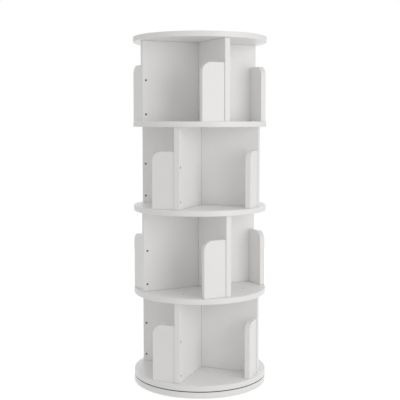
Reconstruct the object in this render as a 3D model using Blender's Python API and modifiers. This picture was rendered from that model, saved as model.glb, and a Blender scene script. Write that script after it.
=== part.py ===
"""Revolving bookcase: four tiers of open bays on round shelves, turning together on a fixed base.

Lengths are in metres, +Z is up, and the origin is on the turning axis at the floor.
A tier is a cross of upright panels between two round boards. Each arm of the cross carries a fence
at its outer end, which stops the books, and every second cross is turned by about 45 degrees.
The assembly screws are solid with the piece that their thread bites into: each fence carries the two
that reach through its panel, and each panel the ones that reach through the boards above and below.
"""

import math

import bmesh
import bpy
from mathutils import Matrix

# Round boards: the fixed base, the turning shelves and the top
CASE_RADIUS = 0.230
BASE_THICKNESS = 0.018
SHELF_THICKNESS = 0.018
TIER_CLEAR_HEIGHT = 0.270
TURNING_GAP = 0.003
BOARD_EDGE_EASE = 0.0012
SHELF_SIDES = 56

# Degrees that each tier's cross is turned about the axis, from the lowest tier up
TIER_TURNS = (0.0, 46.8, 0.0, 45.2)
ARM_COUNT = 4

# Upright panels: one runs right across the case, and two half panels butt against its faces
PANEL_THICKNESS = 0.018
PANEL_RIM_INSET = 0.0155

# Fences: upright boards that stand square to each arm, near its outer end
FENCE_THICKNESS = 0.018
FENCE_HEIGHT = 0.190
FENCE_SETBACK = 0.003
FENCE_RIM_INSET = 0.0007
FENCE_CORNER_RADIUS = 0.032
FENCE_CORNER_STEPS = 6

# Assembly screws, countersunk: the same screw holds the fences and the round boards
SCREW_LENGTH = 0.050
SCREW_RADIUS = 0.0022
SCREW_HEAD_RADIUS = 0.0042
SCREW_HEAD_HEIGHT = 0.0022
SCREW_SINK = 0.0004
SCREW_SIDES = 8
FENCE_SCREW_ABOVE_FLOOR = 0.024
FENCE_SCREW_BELOW_TOP = 0.052

# Dowels through the long panel, which locate the two half panels
DOWEL_RADIUS = 0.004
DOWEL_LENGTH = 0.048
DOWEL_HEIGHT_SHARES = (0.25, 0.75)
DOWEL_SIDES = 8

# Ring bearing, let into pockets in the base and in the lowest shelf
RACE_PITCH_RADIUS = 0.1005
RACE_GAP = 0.0024
RING_WIDTH = 0.0225
RING_SIDES = 40
POCKET_DEPTH = 0.003
POCKET_CLEARANCE = 0.001
BALL_RADIUS = 0.0025
BALL_COUNT = 12
BALL_CLEARANCE = 0.0005
BALL_SEGMENTS = 8
BALL_RINGS = 5
GROOVE_STEPS = 4
CAGE_WALL = 0.0014
CAGE_HEIGHT = 0.0072
RING_SCREW_COUNT = 4
RING_SCREW_LENGTH = 0.0165
RING_SCREW_RADIUS = 0.0016
RING_SCREW_HEAD_RADIUS = 0.0034
RING_SCREW_HEAD_HEIGHT = 0.0018
ACCESS_HOLE_RADIUS = 0.008
ACCESS_HOLE_SIDES = 12

# Foot pads under the base
PAD_RADIUS = 0.016
PAD_HEIGHT = 0.003
PAD_RIM_INSET = 0.030
PAD_COUNT = 6
PAD_SIDES = 16

# Fits: the gap left between pieces that rest on each other, and how far a cut overruns a face
SEAT_GAP = 0.0003
CUT_OVERRUN = 0.002
MERGE_DISTANCE = 0.00002
SMOOTH_ANGLE = math.radians(30)

# Heights of the faces, from the floor up
BASE_BOTTOM = PAD_HEIGHT
BASE_TOP = BASE_BOTTOM + BASE_THICKNESS
BOTTOM_SHELF_BOTTOM = BASE_TOP + TURNING_GAP
TIER_PITCH = TIER_CLEAR_HEIGHT + SHELF_THICKNESS
RACE_HEIGHT = BASE_TOP + TURNING_GAP / 2

# Places worked out from the sizes above
PANEL_END = CASE_RADIUS - PANEL_RIM_INSET
PANEL_HEIGHT = TIER_CLEAR_HEIGHT - 2 * SEAT_GAP
PANEL_BUTT_OFFSET = PANEL_THICKNESS / 2 + SEAT_GAP
FENCE_OUTER_FACE = PANEL_END - FENCE_SETBACK
FENCE_INNER_FACE = FENCE_OUTER_FACE - FENCE_THICKNESS
FENCE_MIDDLE = FENCE_OUTER_FACE - FENCE_THICKNESS / 2
FENCE_CORNER_PLACE = math.sqrt((CASE_RADIUS - FENCE_RIM_INSET) ** 2 - FENCE_OUTER_FACE ** 2)
FENCE_REACH = FENCE_CORNER_PLACE - PANEL_BUTT_OFFSET
FENCE_SCREW_HEIGHTS = (FENCE_SCREW_ABOVE_FLOOR, FENCE_HEIGHT - FENCE_SCREW_BELOW_TOP)
RING_OUTER_RADIUS = RACE_PITCH_RADIUS + RACE_GAP / 2 + RING_WIDTH
RING_INNER_RADIUS = RACE_PITCH_RADIUS - RACE_GAP / 2 - RING_WIDTH
RING_SCREW_OFFSET = (RACE_GAP + RING_WIDTH) / 2
RING_HEIGHT = TURNING_GAP + 2 * POCKET_DEPTH - SEAT_GAP - POCKET_CLEARANCE
RING_SEAT_DEPTH = TURNING_GAP / 2 + POCKET_DEPTH - SEAT_GAP
POCKET_OUTER_RADIUS = RING_OUTER_RADIUS + POCKET_CLEARANCE
POCKET_INNER_RADIUS = RING_INNER_RADIUS - POCKET_CLEARANCE
GROOVE_RADIUS = BALL_RADIUS + BALL_CLEARANCE
BOARD_SCREW_PLACE = (POCKET_OUTER_RADIUS + FENCE_INNER_FACE) / 2

UPSIDE_DOWN = Matrix.Rotation(math.pi, 4, "X")


# Scene and collections
def clear_scene():
    for old in list(bpy.data.objects):
        bpy.data.objects.remove(old, do_unlink=True)


def new_collection(name):
    collection = bpy.data.collections.new(name)
    bpy.context.scene.collection.children.link(collection)
    return collection


def material(name, colour, roughness, metallic=0.0):
    finish = bpy.data.materials.new(name)
    finish.use_nodes = True
    shader = finish.node_tree.nodes["Principled BSDF"]
    shader.inputs["Base Color"].default_value = (*colour, 1.0)
    shader.inputs["Roughness"].default_value = roughness
    shader.inputs["Metallic"].default_value = metallic
    return finish


# Meshes
def mesh_from(name, work):
    mesh = bpy.data.meshes.new(name)
    work.to_mesh(mesh)
    work.free()
    return mesh


def smooth(mesh):
    """Round pieces are smooth, with their rims kept sharp."""
    mesh.shade_smooth()
    mesh.set_sharp_from_angle(angle=SMOOTH_ANGLE)
    return mesh


def box_mesh(name, low, high):
    """A box between two opposite corners."""
    work = bmesh.new()
    bmesh.ops.create_cube(work, size=1.0)
    size = [top - bottom for bottom, top in zip(low, high)]
    middle = [(top + bottom) / 2 for bottom, top in zip(low, high)]
    bmesh.ops.scale(work, vec=size, verts=work.verts)
    bmesh.ops.translate(work, vec=middle, verts=work.verts)
    return mesh_from(name, work)


def cylinder_mesh(name, radius, bottom, top, sides):
    """An upright cylinder about Z, between two heights."""
    work = bmesh.new()
    bmesh.ops.create_cone(
        work, cap_ends=True, segments=sides, radius1=radius, radius2=radius, depth=top - bottom
    )
    bmesh.ops.translate(work, vec=(0.0, 0.0, (top + bottom) / 2), verts=work.verts)
    return smooth(mesh_from(name, work))


def baked_mesh(name, source):
    """The mesh of an object with its modifiers applied. The object itself is removed."""
    bpy.context.view_layer.update()
    graph = bpy.context.evaluated_depsgraph_get()
    mesh = bpy.data.meshes.new_from_object(source.evaluated_get(graph))
    mesh.name = name
    bpy.data.objects.remove(source, do_unlink=True)
    return mesh


def turned_mesh(name, profile, sides, ring=False):
    """A solid turned about Z from (radius, height) points that run down its outer side."""
    points = [(radius, 0.0, height) for radius, height in profile]
    edges = [(index, index + 1) for index in range(len(points) - 1)]
    if ring:
        edges.append((len(points) - 1, 0))
    outline = bpy.data.meshes.new(name)
    outline.from_pydata(points, edges, [])
    turning = bpy.data.objects.new(name, outline)
    bpy.context.scene.collection.objects.link(turning)
    screw = turning.modifiers.new("turn", "SCREW")
    screw.axis = "Z"
    screw.angle = math.tau
    screw.steps = sides
    screw.render_steps = sides
    screw.use_merge_vertices = True
    screw.merge_threshold = MERGE_DISTANCE
    return smooth(baked_mesh(name, turning))


def repeated_mesh(name, mesh, places):
    """Separate copies of one mesh, one at each place."""
    work = bmesh.new()
    for place in places:
        earlier = len(work.verts)
        work.from_mesh(mesh)
        work.verts.ensure_lookup_table()
        bmesh.ops.transform(work, matrix=place, verts=work.verts[earlier:])
    joined = mesh_from(name, work)
    for finish in mesh.materials:
        joined.materials.append(finish)
    return joined


def combined_mesh(name, mesh, operation, others):
    """A mesh after a Boolean with each of the others: DIFFERENCE cuts them out, UNION joins them on."""
    board = bpy.data.objects.new(name, mesh)
    bpy.context.scene.collection.objects.link(board)
    tools = [add_cutter(f"{name}_tool", other) for other in others]
    for tool in tools:
        combine(board, tool, operation)
    result = baked_mesh(name, board)
    for tool in tools:
        bpy.data.objects.remove(tool, do_unlink=True)
    return result


# Objects
def add_part(name, mesh, finish, parent, height=0.0, turn=0.0):
    """One named piece, placed by its height and its turn about the axis."""
    part = bpy.data.objects.new(name, mesh)
    if not mesh.materials:
        mesh.materials.append(finish)
    part.location = (0.0, 0.0, height)
    part.rotation_euler = (0.0, 0.0, turn)
    part.parent = parent
    parts_collection.objects.link(part)
    return part


def add_fastener(name, mesh, finish, parent, place):
    """One named piece, placed by its whole position and direction."""
    part = add_part(name, mesh, finish, parent)
    part.matrix_local = place
    return part


def add_axis(name):
    """An empty on the turning axis that carries the pieces of one moving group."""
    axis = bpy.data.objects.new(name, None)
    parts_collection.objects.link(axis)
    return axis


def add_cutter(name, mesh):
    tool = bpy.data.objects.new(name, mesh)
    tool.hide_render = True
    tool.display_type = "WIRE"
    cutters_collection.objects.link(tool)
    return tool


def combine(board, tool, operation="DIFFERENCE"):
    boolean = board.modifiers.new("combine", "BOOLEAN")
    boolean.operation = operation
    boolean.solver = "EXACT"
    boolean.material_mode = "TRANSFER"
    boolean.object = tool


def ease_edges(board):
    bevel = board.modifiers.new("eased_edge", "BEVEL")
    bevel.width = BOARD_EDGE_EASE
    bevel.segments = 1
    bevel.limit_method = "ANGLE"
    bevel.angle_limit = SMOOTH_ANGLE


# Places
def turn_about_axis(angle):
    return Matrix.Rotation(angle, 4, "Z")


def arm_angle(tier, arm):
    """Direction of an arm of a tier's cross. Arms are counted clockwise, seen from above."""
    return math.radians(TIER_TURNS[tier]) - math.pi / 2 - arm * math.tau / ARM_COUNT


def tier_floor(tier):
    """Height of a tier's floor, the upper face of the round board under its cross."""
    return BOTTOM_SHELF_BOTTOM + SHELF_THICKNESS + tier * TIER_PITCH


def around(count, radius, height=0.0, start=0.0):
    """Places at even angles on a circle, each turned to face outwards along its own X."""
    return [
        turn_about_axis(start + index * math.tau / count) @ Matrix.Translation((radius, 0.0, height))
        for index in range(count)
    ]


# Screws and the holes that they sit in
def screw_mesh(name, length, radius, head_radius, head_height):
    """A countersunk screw. Its head's face is at height zero, and it points down."""
    profile = [
        (0.0, 0.0),
        (head_radius, 0.0),
        (radius, -head_height),
        (radius, -length),
        (0.0, -length),
    ]
    return turned_mesh(name, profile, SCREW_SIDES)


def screw_hole_mesh(name, length, radius, head_radius, head_height):
    """The countersunk hole for such a screw, one seat gap larger all round."""
    profile = [
        (0.0, CUT_OVERRUN),
        (head_radius + SEAT_GAP, CUT_OVERRUN),
        (head_radius + SEAT_GAP, 0.0),
        (radius + SEAT_GAP, -head_height),
        (radius + SEAT_GAP, -length - SEAT_GAP),
        (0.0, -length - SEAT_GAP),
    ]
    return turned_mesh(name, profile, SCREW_SIDES)


def fence_screw_places():
    """In the arm's own frame: from the panel's free face, through it, into the fence's edge."""
    across = Matrix.Rotation(-math.pi / 2, 4, "X")
    return [
        Matrix.Translation((FENCE_MIDDLE, PANEL_THICKNESS / 2 - SCREW_SINK, height)) @ across
        for height in FENCE_SCREW_HEIGHTS
    ]


def panel_screw_places():
    """In the arm's own frame: one screw down through the board above, one up through the board below."""
    above = TIER_CLEAR_HEIGHT + SHELF_THICKNESS - SCREW_SINK
    below = SCREW_SINK - SHELF_THICKNESS
    return [
        Matrix.Translation((BOARD_SCREW_PLACE, 0.0, above)),
        Matrix.Translation((BOARD_SCREW_PLACE, 0.0, below)) @ UPSIDE_DOWN,
    ]


def dowel_places():
    """In the tier's frame, where the long panel runs along X and the dowels along Y."""
    along = Matrix.Rotation(math.pi / 2, 4, "X")
    return [
        Matrix.Translation((0.0, 0.0, share * TIER_CLEAR_HEIGHT)) @ along
        for share in DOWEL_HEIGHT_SHARES
    ]


# Boards of a tier
def drilled_panel_mesh(name, blank, fence_screws, dowels, board_screws):
    """A panel with holes for its fence's screws and its dowels, and with its own screws standing out."""
    blank.materials.append(panel_white)
    holes = [
        repeated_mesh(f"{name}_screw_holes", assembly_screw_hole, fence_screws),
        repeated_mesh(f"{name}_dowel_holes", dowel_hole, dowels),
    ]
    drilled = combined_mesh(name, blank, "DIFFERENCE", holes)
    screws = repeated_mesh(f"{name}_screws", assembly_screw, board_screws)
    return combined_mesh(name, drilled, "UNION", [screws])


def long_panel_mesh():
    """The panel that runs right across the case, along X, with its foot at height zero."""
    low = (-PANEL_END, -PANEL_THICKNESS / 2, SEAT_GAP)
    high = (PANEL_END, PANEL_THICKNESS / 2, SEAT_GAP + PANEL_HEIGHT)
    blank = box_mesh("long_panel_blank", low, high)
    half_turn = turn_about_axis(math.pi)
    fence_screws = fence_screw_places()
    fence_screws += [half_turn @ place for place in fence_screws]
    board_screws = panel_screw_places()
    board_screws += [half_turn @ place for place in board_screws]
    return drilled_panel_mesh("long_panel", blank, fence_screws, dowel_places(), board_screws)


def half_panel_mesh():
    """A half panel along X, from the long panel's face out to the same end."""
    low = (PANEL_BUTT_OFFSET, -PANEL_THICKNESS / 2, SEAT_GAP)
    high = (PANEL_END, PANEL_THICKNESS / 2, SEAT_GAP + PANEL_HEIGHT)
    blank = box_mesh("half_panel_blank", low, high)
    quarter_turn = turn_about_axis(math.pi / 2)
    dowels = [quarter_turn @ place for place in dowel_places()]
    return drilled_panel_mesh("half_panel", blank, fence_screw_places(), dowels, panel_screw_places())


def corner_arc(centre_x, centre_y, radius, steps):
    """A quarter circle, from straight out along X round to straight up along Y."""
    quarter = math.pi / 2
    return [
        (
            centre_x + radius * math.cos(quarter * step / steps),
            centre_y + radius * math.sin(quarter * step / steps),
        )
        for step in range(steps + 1)
    ]


def fence_mesh():
    """A fence on an arm along X. It stands on the clockwise side, with its outer top corner round."""
    outline = [(0.0, 0.0), (FENCE_REACH, 0.0)]
    outline += corner_arc(
        FENCE_REACH - FENCE_CORNER_RADIUS,
        FENCE_HEIGHT - FENCE_CORNER_RADIUS,
        FENCE_CORNER_RADIUS,
        FENCE_CORNER_STEPS,
    )
    outline.append((0.0, FENCE_HEIGHT))
    curve = bpy.data.curves.new("fence_outline", "CURVE")
    curve.dimensions = "2D"
    curve.fill_mode = "BOTH"
    curve.extrude = FENCE_THICKNESS / 2
    spline = curve.splines.new("POLY")
    spline.points.add(len(outline) - 1)
    for point, (across, up) in zip(spline.points, outline):
        point.co = (across, up, 0.0, 1.0)
    spline.use_cyclic_u = True
    shape = bpy.data.objects.new("fence_outline", curve)
    bpy.context.scene.collection.objects.link(shape)
    blank = baked_mesh("fence_blank", shape)
    work = bmesh.new()
    work.from_mesh(blank)
    bmesh.ops.remove_doubles(work, verts=work.verts, dist=MERGE_DISTANCE)
    upright = Matrix.Rotation(-math.pi / 2, 4, "Z") @ Matrix.Rotation(math.pi / 2, 4, "X")
    place = Matrix.Translation((FENCE_MIDDLE, -PANEL_BUTT_OFFSET, SEAT_GAP))
    bmesh.ops.transform(work, matrix=place @ upright, verts=work.verts)
    blank = smooth(mesh_from("fence_blank", work))
    blank.materials.append(fence_white)
    screws = repeated_mesh("fence_screws", assembly_screw, fence_screw_places())
    return combined_mesh("fence", blank, "UNION", [screws])


# Round boards
def add_round_board(name, bottom, thickness, finish, parent, holes):
    """A round board with eased edges, and the holes cut through it."""
    blank = cylinder_mesh(name, CASE_RADIUS, 0.0, thickness, SHELF_SIDES)
    board = add_part(name, blank, finish, parent, bottom)
    ease_edges(board)
    for index, hole in enumerate(holes):
        tool = add_cutter(f"{name}_cutter_{index + 1}", hole)
        tool.parent = parent
        combine(board, tool)
    return board


def board_screw_places(index):
    """World places of the screws through one turning board, counted from the lowest up."""
    places = []
    for tier, end in ((index - 1, 0), (index, 1)):
        if 0 <= tier < len(TIER_TURNS):
            lift = Matrix.Translation((0.0, 0.0, tier_floor(tier)))
            for arm in range(ARM_COUNT):
                places.append(lift @ turn_about_axis(arm_angle(tier, arm)) @ panel_screw_places()[end])
    return places


def pocket_mesh(name, low, high):
    """The ring-shaped pocket that takes the bearing, between two heights."""
    profile = [
        (POCKET_OUTER_RADIUS, high),
        (POCKET_OUTER_RADIUS, low),
        (POCKET_INNER_RADIUS, low),
        (POCKET_INNER_RADIUS, high),
    ]
    return turned_mesh(name, profile, RING_SIDES, ring=True)


# Bearing
def groove(side):
    """The race cut in a ring's face, as points from top to bottom. Side is 1 outwards, -1 inwards."""
    reach = math.acos(RACE_GAP / 2 / GROOVE_RADIUS)
    points = []
    for step in range(GROOVE_STEPS + 1):
        angle = reach - 2 * reach * step / GROOVE_STEPS
        radius = RACE_PITCH_RADIUS + side * GROOVE_RADIUS * math.cos(angle)
        points.append((radius, GROOVE_RADIUS * math.sin(angle)))
    return points


def outer_ring_mesh():
    """The fixed ring. Height zero is at the balls' centres, and it seats downwards in the base."""
    face = RACE_PITCH_RADIUS + RACE_GAP / 2
    bottom = -RING_SEAT_DEPTH
    top = bottom + RING_HEIGHT
    profile = [(RING_OUTER_RADIUS, top), (RING_OUTER_RADIUS, bottom), (face, bottom)]
    profile += reversed(groove(1))
    profile.append((face, top))
    ring = turned_mesh("outer_ring_blank", profile, RING_SIDES, ring=True)
    places = around(RING_SCREW_COUNT, RACE_PITCH_RADIUS + RING_SCREW_OFFSET, top - SCREW_SINK)
    holes = repeated_mesh("outer_ring_holes", ring_screw_hole, places)
    return combined_mesh("outer_ring", ring, "DIFFERENCE", [holes])


def inner_ring_mesh():
    """The turning ring, which seats upwards in the lowest shelf."""
    face = RACE_PITCH_RADIUS - RACE_GAP / 2
    top = RING_SEAT_DEPTH
    bottom = top - RING_HEIGHT
    profile = [(face, top)]
    profile += groove(-1)
    profile += [(face, bottom), (RING_INNER_RADIUS, bottom), (RING_INNER_RADIUS, top)]
    ring = turned_mesh("inner_ring_blank", profile, RING_SIDES, ring=True)
    places = around(RING_SCREW_COUNT, RACE_PITCH_RADIUS - RING_SCREW_OFFSET, bottom + SCREW_SINK)
    places = [place @ UPSIDE_DOWN for place in places]
    holes = repeated_mesh("inner_ring_holes", ring_screw_hole, places)
    return combined_mesh("inner_ring", ring, "DIFFERENCE", [holes])


def ball_cage_mesh():
    """The thin ring that spaces the balls, with the balls it holds joined to it."""
    half_wall = CAGE_WALL / 2
    half_height = CAGE_HEIGHT / 2
    profile = [
        (RACE_PITCH_RADIUS + half_wall, half_height),
        (RACE_PITCH_RADIUS + half_wall, -half_height),
        (RACE_PITCH_RADIUS - half_wall, -half_height),
        (RACE_PITCH_RADIUS - half_wall, half_height),
    ]
    ring = turned_mesh("cage_ring", profile, RING_SIDES, ring=True)
    ring.materials.append(cage_nylon)
    work = bmesh.new()
    bmesh.ops.create_uvsphere(
        work, u_segments=BALL_SEGMENTS, v_segments=BALL_RINGS, radius=BALL_RADIUS
    )
    ball = smooth(mesh_from("ball", work))
    ball.materials.append(ball_steel)
    balls = repeated_mesh("balls", ball, around(BALL_COUNT, RACE_PITCH_RADIUS))
    return combined_mesh("ball_cage", ring, "UNION", [balls])


clear_scene()
parts_collection = new_collection("revolving_bookcase")
cutters_collection = new_collection("cutters")

# Finishes
shelf_white = material("shelf_white", (0.80, 0.80, 0.79), 0.45)
panel_white = material("panel_white", (0.79, 0.79, 0.78), 0.45)
fence_white = material("fence_white", (0.81, 0.81, 0.80), 0.45)
screw_steel = material("screw_steel", (0.16, 0.16, 0.17), 0.40, 1.0)
ring_aluminium = material("ring_aluminium", (0.66, 0.67, 0.68), 0.35, 1.0)
ball_steel = material("ball_steel", (0.60, 0.60, 0.61), 0.15, 1.0)
cage_nylon = material("cage_nylon", (0.72, 0.71, 0.66), 0.50)
dowel_beech = material("dowel_beech", (0.58, 0.40, 0.24), 0.70)
pad_rubber = material("pad_rubber", (0.03, 0.03, 0.03), 0.80)

# Moving groups: the base stands still, the balls roll round in their cage, the rest turns
base_group = add_axis("base_group")
ball_group = add_axis("ball_group")
turning_group = add_axis("turning_group")

# Fasteners, and the holes for them
assembly_screw_sizes = (SCREW_LENGTH, SCREW_RADIUS, SCREW_HEAD_RADIUS, SCREW_HEAD_HEIGHT)
assembly_screw = screw_mesh("assembly_screw", *assembly_screw_sizes)
assembly_screw.materials.append(screw_steel)
assembly_screw_hole = screw_hole_mesh("assembly_screw_hole", *assembly_screw_sizes)
ring_screw_sizes = (
    RING_SCREW_LENGTH,
    RING_SCREW_RADIUS,
    RING_SCREW_HEAD_RADIUS,
    RING_SCREW_HEAD_HEIGHT,
)
ring_screw = screw_mesh("ring_screw", *ring_screw_sizes)
ring_screw_hole = screw_hole_mesh("ring_screw_hole", *ring_screw_sizes)
dowel = cylinder_mesh("dowel", DOWEL_RADIUS, -DOWEL_LENGTH / 2, DOWEL_LENGTH / 2, DOWEL_SIDES)
dowel_hole_reach = DOWEL_LENGTH / 2 + SEAT_GAP
dowel_hole = cylinder_mesh(
    "dowel_hole", DOWEL_RADIUS + SEAT_GAP, -dowel_hole_reach, dowel_hole_reach, DOWEL_SIDES
)

# Fixed base: the round board on its pads, and the outer ring of the bearing
outer_ring_screw_places = around(
    RING_SCREW_COUNT,
    RACE_PITCH_RADIUS + RING_SCREW_OFFSET,
    RACE_HEIGHT - RING_SEAT_DEPTH + RING_HEIGHT - SCREW_SINK,
)
access_hole = cylinder_mesh(
    "access_hole",
    ACCESS_HOLE_RADIUS,
    BASE_BOTTOM - CUT_OVERRUN,
    BASE_TOP + CUT_OVERRUN,
    ACCESS_HOLE_SIDES,
)
access_place = Matrix.Translation((RACE_PITCH_RADIUS - RING_SCREW_OFFSET, 0.0, 0.0))
base_holes = [
    pocket_mesh("base_pocket", BASE_TOP - POCKET_DEPTH, BASE_TOP + CUT_OVERRUN),
    repeated_mesh("base_screw_holes", ring_screw_hole, outer_ring_screw_places),
    repeated_mesh("base_access_hole", access_hole, [access_place]),
]
add_round_board("base_board", BASE_BOTTOM, BASE_THICKNESS, shelf_white, base_group, base_holes)
pad = cylinder_mesh("foot_pad", PAD_RADIUS, 0.0, PAD_HEIGHT - SEAT_GAP, PAD_SIDES)
for index, place in enumerate(around(PAD_COUNT, CASE_RADIUS - PAD_RIM_INSET - PAD_RADIUS)):
    add_fastener(f"foot_pad_{index + 1}", pad, pad_rubber, base_group, place)
add_part("bearing_outer_ring", outer_ring_mesh(), ring_aluminium, base_group, RACE_HEIGHT)
for index, place in enumerate(outer_ring_screw_places):
    add_fastener(f"outer_ring_screw_{index + 1}", ring_screw, screw_steel, base_group, place)

# Balls and their cage, which roll round at about half the case's speed
add_part("ball_cage", ball_cage_mesh(), cage_nylon, ball_group, RACE_HEIGHT)

# Turning ring of the bearing
inner_ring_screw_places = [
    place @ UPSIDE_DOWN
    for place in around(
        RING_SCREW_COUNT,
        RACE_PITCH_RADIUS - RING_SCREW_OFFSET,
        RACE_HEIGHT + RING_SEAT_DEPTH - RING_HEIGHT + SCREW_SINK,
    )
]
add_part("bearing_inner_ring", inner_ring_mesh(), ring_aluminium, turning_group, RACE_HEIGHT)
for index, place in enumerate(inner_ring_screw_places):
    add_fastener(f"inner_ring_screw_{index + 1}", ring_screw, screw_steel, turning_group, place)

# Turning round boards, from the lowest shelf to the top
for index, board_name in enumerate(("bottom_shelf", "shelf_2", "shelf_3", "shelf_4", "top_board")):
    underside = BOTTOM_SHELF_BOTTOM + index * TIER_PITCH
    board_holes = [repeated_mesh(f"{board_name}_holes", assembly_screw_hole, board_screw_places(index))]
    if index == 0:
        pocket_top = BOTTOM_SHELF_BOTTOM + POCKET_DEPTH
        board_holes.append(pocket_mesh("shelf_pocket", BOTTOM_SHELF_BOTTOM - CUT_OVERRUN, pocket_top))
        board_holes.append(repeated_mesh("shelf_screw_holes", ring_screw_hole, inner_ring_screw_places))
    add_round_board(board_name, underside, SHELF_THICKNESS, shelf_white, turning_group, board_holes)

# Crosses and fences of the four tiers
long_panel = long_panel_mesh()
half_panel = half_panel_mesh()
fence = fence_mesh()
for tier in range(len(TIER_TURNS)):
    floor = tier_floor(tier)
    label = f"tier_{tier + 1}"
    add_part(f"{label}_long_panel", long_panel, panel_white, turning_group, floor, arm_angle(tier, 0))
    for side, arm in (("left", 1), ("right", 3)):
        turn = arm_angle(tier, arm)
        add_part(f"{label}_{side}_half_panel", half_panel, panel_white, turning_group, floor, turn)
    for arm in range(ARM_COUNT):
        turn = arm_angle(tier, arm)
        add_part(f"{label}_fence_{arm + 1}", fence, fence_white, turning_group, floor, turn)
    cross = Matrix.Translation((0.0, 0.0, floor)) @ turn_about_axis(arm_angle(tier, 0))
    for index, spot in enumerate(dowel_places()):
        dowel_name = f"{label}_dowel_{index + 1}"
        add_fastener(dowel_name, dowel, dowel_beech, turning_group, cross @ spot)
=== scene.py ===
# %% [markdown]
# A revolving bookcase in white faced board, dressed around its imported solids.
#
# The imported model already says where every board, screw and ring sits and how large it is. It is drawn
# with few faces, though, so this lesson makes each piece again with the small things that the eye looks
# for: eased edges, edge bands, sunk screws, sockets, threads, flutes and race grooves. Every board stays
# where it is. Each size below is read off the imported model, or named where it is first needed.

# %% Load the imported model
import math

import bmesh
import bpy
import numpy as np
from mathutils import Matrix, Vector


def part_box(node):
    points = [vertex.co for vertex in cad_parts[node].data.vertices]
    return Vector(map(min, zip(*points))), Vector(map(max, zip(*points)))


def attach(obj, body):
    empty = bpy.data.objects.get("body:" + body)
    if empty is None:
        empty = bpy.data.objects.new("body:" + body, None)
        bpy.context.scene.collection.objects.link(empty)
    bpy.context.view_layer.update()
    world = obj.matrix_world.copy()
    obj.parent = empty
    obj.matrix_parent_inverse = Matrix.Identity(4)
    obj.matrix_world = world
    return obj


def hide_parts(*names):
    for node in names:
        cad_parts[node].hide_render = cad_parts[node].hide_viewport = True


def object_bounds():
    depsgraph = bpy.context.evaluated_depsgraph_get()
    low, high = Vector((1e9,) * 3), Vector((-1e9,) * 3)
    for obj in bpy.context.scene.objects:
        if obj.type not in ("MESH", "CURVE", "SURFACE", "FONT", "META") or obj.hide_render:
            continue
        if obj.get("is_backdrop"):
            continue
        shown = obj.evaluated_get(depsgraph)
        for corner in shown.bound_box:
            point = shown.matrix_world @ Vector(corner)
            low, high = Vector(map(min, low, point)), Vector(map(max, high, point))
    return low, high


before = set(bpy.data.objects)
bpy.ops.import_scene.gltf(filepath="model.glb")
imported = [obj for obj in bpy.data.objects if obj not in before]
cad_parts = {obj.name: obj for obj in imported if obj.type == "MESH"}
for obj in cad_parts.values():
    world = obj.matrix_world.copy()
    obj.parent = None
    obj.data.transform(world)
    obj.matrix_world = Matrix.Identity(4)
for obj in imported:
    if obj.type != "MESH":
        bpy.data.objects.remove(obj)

MM = 0.001
cad_low, cad_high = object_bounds()


def rounded(values, digits=4):
    """Numbers made short enough to print."""
    return [round(value, digits) for value in values]


print("Packed model, from", rounded(cad_low), "to", rounded(cad_high))

# %% [markdown]
# The camera comes first, so that every later step can be looked at. The photograph looks level with the
# upper face of the fourth shelf, and a little round from square. A level camera with a tall lens shift
# would repeat it exactly, but every other view keeps that shift and would cut off the top board. So the
# camera stands in the same place, tilts down by four degrees and shifts only slightly. The same things
# hide each other as in the photograph, and no edge moves by more than about one and a half pixels.

# %% Camera
CAMERA_AZIMUTH = math.radians(20.43)
CAMERA_DISTANCE = 2.828
CAMERA_TILT = math.radians(4.12)
CAMERA_LENS_MM = 73.06
CAMERA_SHIFT_X = 0.0006
CAMERA_SHIFT_Y = -0.05


def scene_object(data):
    """An object in the scene that holds this camera, light or mesh."""
    holder = bpy.data.objects.new(data.name, data)
    bpy.context.scene.collection.objects.link(holder)
    return holder


eye_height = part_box("shelf_4")[1].z
toward_camera = Vector((math.sin(CAMERA_AZIMUTH), -math.cos(CAMERA_AZIMUTH), 0))
camera_data = bpy.data.cameras.new("studio_camera")
camera_data.lens = CAMERA_LENS_MM
camera_data.shift_x = CAMERA_SHIFT_X
camera_data.shift_y = CAMERA_SHIFT_Y
camera = scene_object(camera_data)
camera.location = toward_camera * CAMERA_DISTANCE + Vector((0, 0, eye_height))
camera.rotation_euler = (math.pi / 2 - CAMERA_TILT, 0, CAMERA_AZIMUTH)
bpy.context.scene.camera = camera
print("Camera at", rounded(camera.location, 3))

# %% [markdown]
# Two small helpers serve the whole file. One adds a node to any tree, for a surface or for a shape, sets
# what it is told and links what it is given. The other turns a colour, written in sRGB hex as on a paint
# card, into the linear numbers that sockets take.

# %% Helpers for nodes and colours
def add_node(tree, kind, inputs=None, **settings):
    """Adds one node. It links an input that is given a socket or a node, and sets any other."""
    node = tree.nodes.new(kind)
    for name, value in settings.items():
        setattr(node, name, value)
    for name, value in (inputs or {}).items():
        if isinstance(value, bpy.types.Node):
            value = value.outputs[0]
        if isinstance(value, bpy.types.NodeSocket):
            tree.links.new(value, node.inputs[name])
        else:
            node.inputs[name].default_value = value
    return node


def linear(hex_colour):
    """An sRGB hex colour as linear RGBA."""
    channels = [int(hex_colour[place : place + 2], 16) / 255 for place in (1, 3, 5)]
    return (*[c / 12.92 if c <= 0.04045 else ((c + 0.055) / 1.055) ** 2.4 for c in channels], 1.0)


# %% [markdown]
# Three more helpers make finishes. Each finish here comes down to a pattern, at the size of what it
# stands for, that moves the colour, and also the relief and the gloss where the real surface has them
# uneven. For most finishes that pattern is one noise, so one function can make them from a few values.

# %% Helpers for finishes
# A Mix node has several inputs of one name, so the two for colours, and what they give, go by number.
FIRST_COLOUR, SECOND_COLOUR, MIXED_COLOUR = 6, 7, 2


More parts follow.
